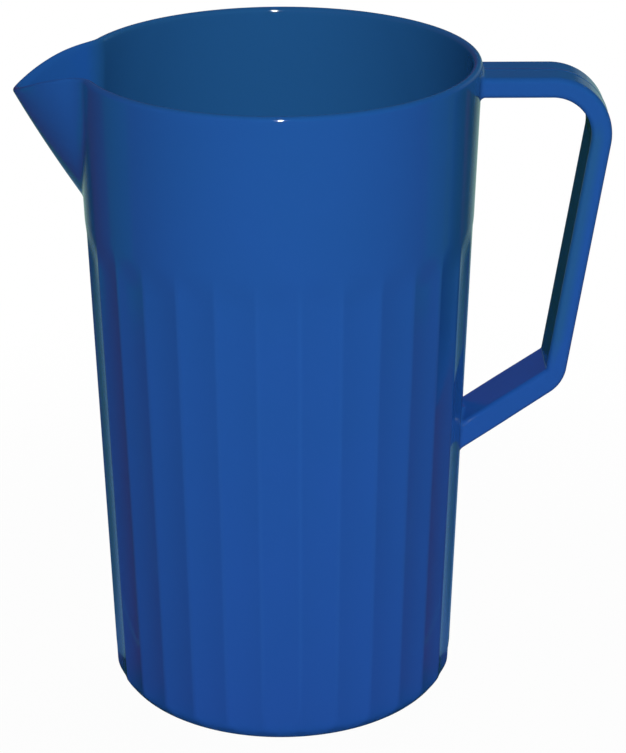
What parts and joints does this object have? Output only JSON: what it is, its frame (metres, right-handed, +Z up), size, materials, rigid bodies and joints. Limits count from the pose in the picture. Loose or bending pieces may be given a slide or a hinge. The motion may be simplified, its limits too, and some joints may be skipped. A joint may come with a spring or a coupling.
{
  "type": "pouring jug",
  "caption": "Free-standing plastic pouring jug: tapered fluted body, plain band below the rim, beaked spout on one side and an open strap handle opposite, for serving drinks.",
  "frame": {"origin": "on the jug's axis, at the underside of the floor that stands on the table", "axes": "+Z up along the jug's axis, +X towards the handle, -X towards the spout"},
  "size_m": [0.1543, 0.105, 0.176],
  "materials": {
    "blue_plastic": "glossy moulded, opaque"
  },
  "bodies": {
    "root": {"base_floor": "blue_plastic", "heel_ring": "blue_plastic", "fluted_wall": "blue_plastic", "plain_collar": "blue_plastic", "rim": "blue_plastic", "spout": "blue_plastic", "handle_upper_arm": "blue_plastic", "handle_grip": "blue_plastic", "handle_lower_arm": "blue_plastic"}
  },
  "joints": []
}
